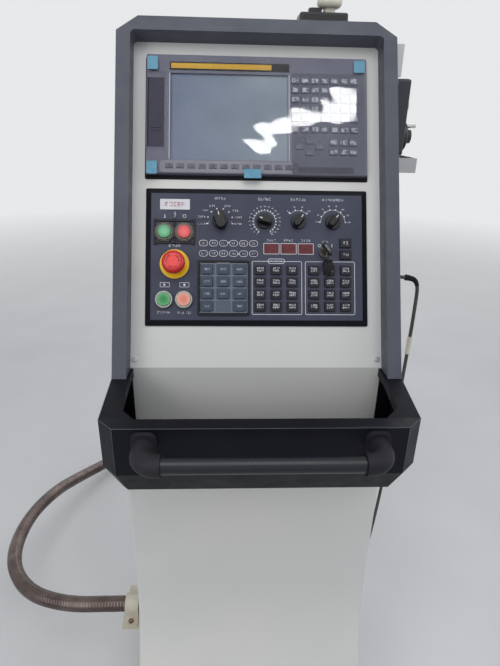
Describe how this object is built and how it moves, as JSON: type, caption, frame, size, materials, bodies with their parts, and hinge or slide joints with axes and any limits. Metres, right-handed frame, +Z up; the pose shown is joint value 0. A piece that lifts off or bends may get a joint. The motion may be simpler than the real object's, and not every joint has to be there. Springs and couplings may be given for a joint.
{
  "type": "cnc operator console",
  "caption": "Floor-standing machine operator console with a leaning screen and button panel, storage tray, handle, signal tower, handwheel pendant and supply conduit.",
  "frame": {"origin": "on the floor, in the middle of the foot's four anchor holes", "axes": "+Z up, front faces -Y, right-hand side +X"},
  "size_m": [1.0012, 1.4735, 1.71],
  "materials": {
    "white_paint": "semi-gloss powder coat, lightly soiled",
    "black_paint": "satin textured powder coat",
    "black_handle": "glossy moulded grip",
    "bezel_grey": "fine-textured grey-beige moulding",
    "panel_slate": "dark slate overlay film, satin",
    "display_glass": "dark anti-glare screen under film",
    "key_grey": "light grey key caps",
    "keypad_dark": "dark membrane keys",
    "keypad_frame": "grey-green raised field",
    "inner_unit": "plated control-unit housing",
    "module_board": "dark module housing",
    "terminal_grey": "grey terminal housings",
    "rail_steel": "zinc-plated",
    "switch_metal": "bright plated rings",
    "green_cap": "translucent green",
    "red_cap": "red",
    "start_green": "translucent green lens",
    "stop_salmon": "translucent salmon lens",
    "stop_red": "mushroom head, glossy red",
    "collar_yellow": "yellow",
    "plunger_grey": "grey",
    "knob_black": "glossy black knobs",
    "lamp_lens": "smoked lamp lenses, unlit",
    "window_red": "red filter over number display",
    "key_nickel": "nickel-plated keys",
    "tower_white": "white tube",
    "tower_black": "moulded black",
    "tower_lens": "stacked red, amber and green lenses",
    "pendant_cream": "cream moulded box",
    "holder_steel": "plain bent plate",
    "wheel_dark": "dark moulded handwheel",
    "gland_metal": "nickel-plated brass",
    "lead_black": "black jacket",
    "sleeve_mix": "black boot and cream marker sleeve",
    "conduit_grey": "grey-brown braided cover, dusty",
    "zinc": "zinc-plated, a little rusty"
  },
  "bodies": {
    "console": {"pedestal_shell": "white_paint", "hood_shell": "white_paint", "front_panel": "white_paint", "face_frame": "black_paint", "storage_tray": "black_paint", "handle_tube": "black_handle", "handle_brackets": "black_handle", "screen_bezel": "bezel_grey", "lcd_panel": "display_glass", "screen_keys": "key_grey", "control_unit": "inner_unit", "operator_panel": "panel_slate", "switch_bodies": "switch_metal", "estop_collar": "collar_yellow", "indicator_lamps": "lamp_lens", "display_windows": "window_red", "keypad_frame": "keypad_frame", "keypad_keys": "keypad_dark", "io_module": "module_board", "din_rail": "rail_steel", "terminal_blocks": "terminal_grey", "rear_door_hinges": "zinc", "tower_foot": "tower_black", "tower_pole": "tower_white", "tower_base": "tower_black", "tower_lenses": "tower_lens", "tower_cap": "tower_black", "pendant_holder": "holder_steel", "pendant_body": "pendant_cream", "cable_gland": "gland_metal", "pendant_lead": "lead_black", "lead_sleeves": "sleeve_mix", "conduit_bracket": "white_paint", "saddle_clamp": "zinc", "clamp_screws": "zinc", "conduit": "conduit_grey", "conduit_coil": "conduit_grey", "conduit_fitting": "gland_metal", "housing_screws": "zinc"},
    "card_door": {"card_door": "bezel_grey"},
    "rear_door": {"rear_door": "white_paint"},
    "door_latch": {"door_latch": "tower_black"},
    "power_on_button": {"power_on_button": "green_cap"},
    "power_off_button": {"power_off_button": "red_cap"},
    "start_button": {"start_button": "start_green"},
    "stop_button": {"stop_button": "stop_salmon"},
    "estop_plunger": {"estop_plunger": "plunger_grey"},
    "estop_head": {"estop_head": "stop_red"},
    "mode_knob": {"mode_knob": "knob_black"},
    "feed_knob": {"feed_knob": "knob_black"},
    "rapid_knob": {"rapid_knob": "knob_black"},
    "spindle_knob": {"spindle_knob": "knob_black"},
    "switch_key": {"switch_key": "key_nickel", "spare_key": "key_nickel"},
    "f_key_1": {"f_key_1": "keypad_dark"},
    "f_key_2": {"f_key_2": "keypad_dark"},
    "hand_wheel": {"hand_wheel": "wheel_dark"},
    "wheel_crank": {"wheel_crank": "wheel_dark"},
    "axis_knob": {"axis_knob": "wheel_dark"},
    "scale_knob": {"scale_knob": "key_grey"}
  },
  "joints": [
    {"name": "card_door_hinge", "type": "hinge", "parent": "console", "child": "card_door", "pos_m": [-0.195, 0.13643, 1.31558], "axis": [0, -0.4384, -0.8988], "range_deg": [0, 100]},
    {"name": "rear_door_hinge", "type": "hinge", "parent": "console", "child": "rear_door", "pos_m": [-0.226, 0.3196, 1.28965], "axis": [0, 0.4384, 0.8988], "range_deg": [0, 110]},
    {"name": "door_latch_turn", "type": "hinge", "parent": "rear_door", "child": "door_latch", "pos_m": [0.182, 0.316, 1.29141], "axis": [0, 0.8988, -0.4384], "range_deg": [0, 90]},
    {"name": "power_on_press", "type": "slide", "parent": "console", "child": "power_on_button", "axis": [0, 0.8988, -0.4384], "range_m": [0, 0.003], "stiffness_N_per_m": 300, "springref_m": -0.002},
    {"name": "power_off_press", "type": "slide", "parent": "console", "child": "power_off_button", "axis": [0, 0.8988, -0.4384], "range_m": [0, 0.003], "stiffness_N_per_m": 300, "springref_m": -0.002},
    {"name": "start_press", "type": "slide", "parent": "console", "child": "start_button", "axis": [0, 0.8988, -0.4384], "range_m": [0, 0.003], "stiffness_N_per_m": 300, "springref_m": -0.002},
    {"name": "stop_press", "type": "slide", "parent": "console", "child": "stop_button", "axis": [0, 0.8988, -0.4384], "range_m": [0, 0.003], "stiffness_N_per_m": 300, "springref_m": -0.002},
    {"name": "estop_press", "type": "slide", "parent": "console", "child": "estop_plunger", "axis": [0, 0.8988, -0.4384], "range_m": [0, 0.005]},
    {"name": "estop_twist", "type": "hinge", "parent": "estop_plunger", "child": "estop_head", "pos_m": [-0.1475, 0.00934, 1.07327], "axis": [0, -0.8988, 0.4384], "range_deg": [-45, 0]},
    {"name": "mode_select", "type": "hinge", "parent": "console", "child": "mode_knob", "pos_m": [-0.067, 0.05274, 1.13944], "axis": [0, -0.8988, 0.4384], "range_deg": [-135, 105]},
    {"name": "feed_override", "type": "hinge", "parent": "console", "child": "feed_knob", "pos_m": [0.013, 0.05274, 1.13944], "axis": [0, -0.8988, 0.4384], "range_deg": [-210, 60]},
    {"name": "rapid_override", "type": "hinge", "parent": "console", "child": "rapid_knob", "pos_m": [0.074, 0.05274, 1.13944], "axis": [0, -0.8988, 0.4384], "range_deg": [-7, 83]},
    {"name": "spindle_override", "type": "hinge", "parent": "console", "child": "spindle_knob", "pos_m": [0.1365, 0.05274, 1.13944], "axis": [0, -0.8988, 0.4384], "range_deg": [-52, 128]},
    {"name": "key_turn", "type": "hinge", "parent": "console", "child": "switch_key", "pos_m": [0.121, 0.02863, 1.09001], "axis": [0, -0.8988, 0.4384], "range_deg": [-66, 0]},
    {"name": "f_key_1_press", "type": "slide", "parent": "console", "child": "f_key_1", "axis": [0, 0.8988, -0.4384], "range_m": [0, 0.0015], "stiffness_N_per_m": 300, "springref_m": -0.002},
    {"name": "f_key_2_press", "type": "slide", "parent": "console", "child": "f_key_2", "axis": [0, 0.8988, -0.4384], "range_m": [0, 0.0015], "stiffness_N_per_m": 300, "springref_m": -0.002},
    {"name": "hand_wheel_turn", "type": "hinge", "parent": "console", "child": "hand_wheel", "pos_m": [0.3, 0.245, 1.28], "axis": [1, 0, 0], "continuous": true},
    {"name": "crank_turn", "type": "hinge", "parent": "hand_wheel", "child": "wheel_crank", "pos_m": [0.31, 0.245, 1.3], "axis": [1, 0, 0], "continuous": true},
    {"name": "axis_select", "type": "hinge", "parent": "console", "child": "axis_knob", "pos_m": [0.3, 0.245, 1.362], "axis": [1, 0, 0], "range_deg": [-90, 90]},
    {"name": "scale_select", "type": "hinge", "parent": "console", "child": "scale_knob", "pos_m": [0.3, 0.245, 1.337], "axis": [1, 0, 0], "range_deg": [-60, 60]}
  ]
}
